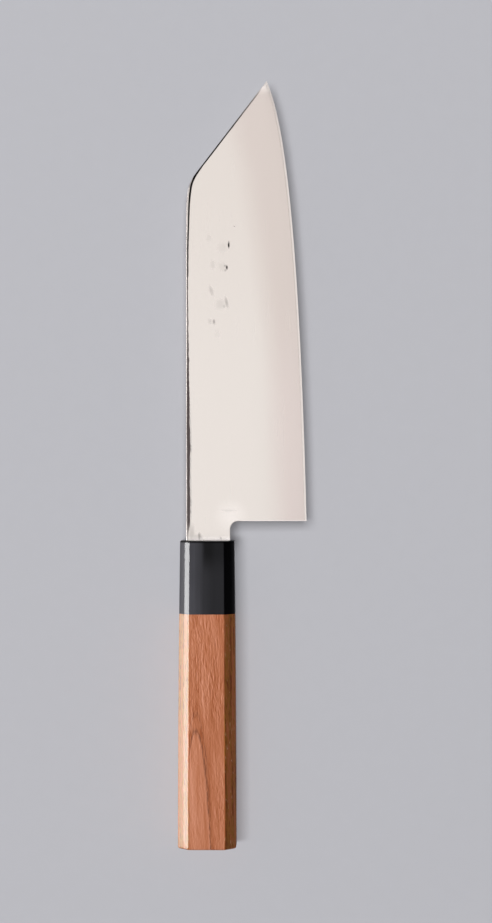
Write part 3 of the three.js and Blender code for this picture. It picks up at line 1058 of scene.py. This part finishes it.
# Light: a panel over the knife that the steel mirrors, one beside it for the bevel, a soft lamp at the
# left, low strips for the facets and the back that face left, a low lamp for the butt, and three dim
# cards round the blade. Four lamps over the table make the soft shadows, and the room is dim.
knife = bpy.data.collections.new("lit_knife")
blade = bpy.data.collections.new("lit_blade")
grip = bpy.data.collections.new("lit_grip")
under = bpy.data.collections.new("lit_table")
for piece in (blade_core, right_cladding, left_cladding):
    knife.objects.link(piece)
    blade.objects.link(piece)
carried_over = [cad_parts[name] for name in ("mouth_seal", "dowel", "tang_bedding")]
for piece in (ferrule, handle_body, *carried_over):
    knife.objects.link(piece)
    grip.objects.link(piece)
under.objects.link(table)


def panel(name, place, aim, size, radiance, lights, shadow_of):
    """A soft rectangular lamp that faces a point and lights some pieces, shaded by all or by some."""
    data = bpy.data.lights.new(name, "AREA")
    data.shape = "RECTANGLE"
    data.size, data.size_y = size
    data.energy = radiance * math.pi * size[0] * size[1]
    lamp = bpy.data.objects.new(name, data)
    lamp.location = place
    lamp.rotation_euler = (Vector(aim) - Vector(place)).to_track_quat("-Z", "Y").to_euler()
    lamp.visible_camera = False
    lamp.light_linking.receiver_collection = lights
    lamp.light_linking.blocker_collection = shadow_of
    bpy.context.collection.objects.link(lamp)
    return lamp


# Each lamp: name, place, the point it faces, size, radiance, what it lights, and what shades it, or
# None where all does.
LAMPS = (
    ("panel_above", (-0.075, 0.05, 1.1), (-0.075, 0.05, 0), (0.65, 1.3), 0.97, knife, None),
    ("panel_bevel", (0.55, 0.05, 1.1), (0.55, 0.05, 0), (0.5, 1.3), 1.0, blade, None),
    ("lamp_left", (-0.72, 0.2, 0.95), (0, 0, 0), (0.6, 0.6), 14.0, knife, None),
    ("strip_grip", (-0.285, -0.115, 0.0221), (0, -0.115, 0.0221), (0.34, 0.0358), 52.0, grip, None),
    ("strip_back", (-0.6, -0.15, 0.05), (0, -0.15, 0.05), (1.0, 0.1), 5.2, blade, None),
    ("lamp_butt", (0, -1.2, 0.1), (0, -0.15, 0.01), (0.6, 0.15), 7.0, grip, None),
    ("card_right", (2.0, 0, 0.8), (0, 0, 0), (4.2, 1.2), 0.6, blade, None),
    ("card_far", (0, 2.0, 0.8), (0, 0, 0), (4.2, 1.2), 0.4, blade, None),
    ("card_near", (0, -2.0, 0.8), (0, 0, 0), (4.2, 1.2), 0.4, blade, None),
    ("lamp_table_far", (-1.15, 1.2, 4.4), (-1.15, 1.2, 0), (2.0, 2.0), 6.4, under, blade),
    ("lamp_table_left", (-0.9, -0.4, 4.4), (-0.9, -0.4, 0), (1.6, 0.6), 17.4, under, knife),
    ("lamp_table_near", (-0.9, -0.4, 4.4), (-0.9, -0.4, 0), (1.6, 0.6), 11.6, under, grip),
    ("lamp_table_right", (0.5, 1.0, 4.4), (0.5, 1.0, 0), (0.8, 2.0), 10.0, under, blade),
)
lamps = {row[0]: panel(*row) for row in LAMPS}
# The lamp at the left lights without being mirrored, and the strips and cards are only mirrored.
lamps["lamp_left"].visible_glossy = False
for name in ("strip_grip", "strip_back", "card_right", "card_far", "card_near"):
    lamps[name].visible_diffuse = False

ROOM_LEFT = (0.12, 0.12, 0.125, 1)
ROOM_RIGHT = (0.03, 0.03, 0.032, 1)
ROOM_TURN = (-0.8, 0.6)
world = bpy.data.worlds.new("room")
bpy.context.scene.world = world
world.use_nodes = True
background = world.node_tree.nodes["Background"]
direction = Socket(world.node_tree.nodes.new("ShaderNodeTexCoord").outputs["Generated"])
rays = {ray.source.name: ray for ray in direction.node("ShaderNodeLightPath")}
shiny = rays["Is Glossy Ray"].math("MAXIMUM", rays["Is Glossy Ray"], rays["Is Transmission Ray"])
rightward = direction.axes()[0].smooth(*ROOM_TURN)
room = rightward.mix(ROOM_LEFT, ROOM_RIGHT)
mirrored = rightward.mix(PAPER, ROOM_RIGHT)
room = rays["Is Camera Ray"].mix(shiny.mix(room, mirrored), PAPER)
connect(background, {"Color": room, "Strength": 1.0})


# Camera: above the knife, a little to the edge side of it, as the photograph was taken. The size of a
# pixel on the knife sets the lens.
PIXEL = 0.409 * MM
IMAGE_HEIGHT = 923
DISTANCE = 0.85
LEAN = math.radians(1.25)
AIM = Vector((1.45 * MM, 0.89 * MM, MID_Z))
SENSOR = 36
camera_data = bpy.data.cameras.new("camera")
camera_data.sensor_width = SENSOR
camera_data.lens = SENSOR * DISTANCE / (IMAGE_HEIGHT * PIXEL)
camera = bpy.data.objects.new("camera", camera_data)
camera.location = AIM + DISTANCE * Vector((math.sin(LEAN), 0, math.cos(LEAN)))
camera.rotation_euler = (0, LEAN, 0)
bpy.context.collection.objects.link(camera)
bpy.context.scene.camera = camera
bpy.context.scene.view_settings.view_transform = "Standard"
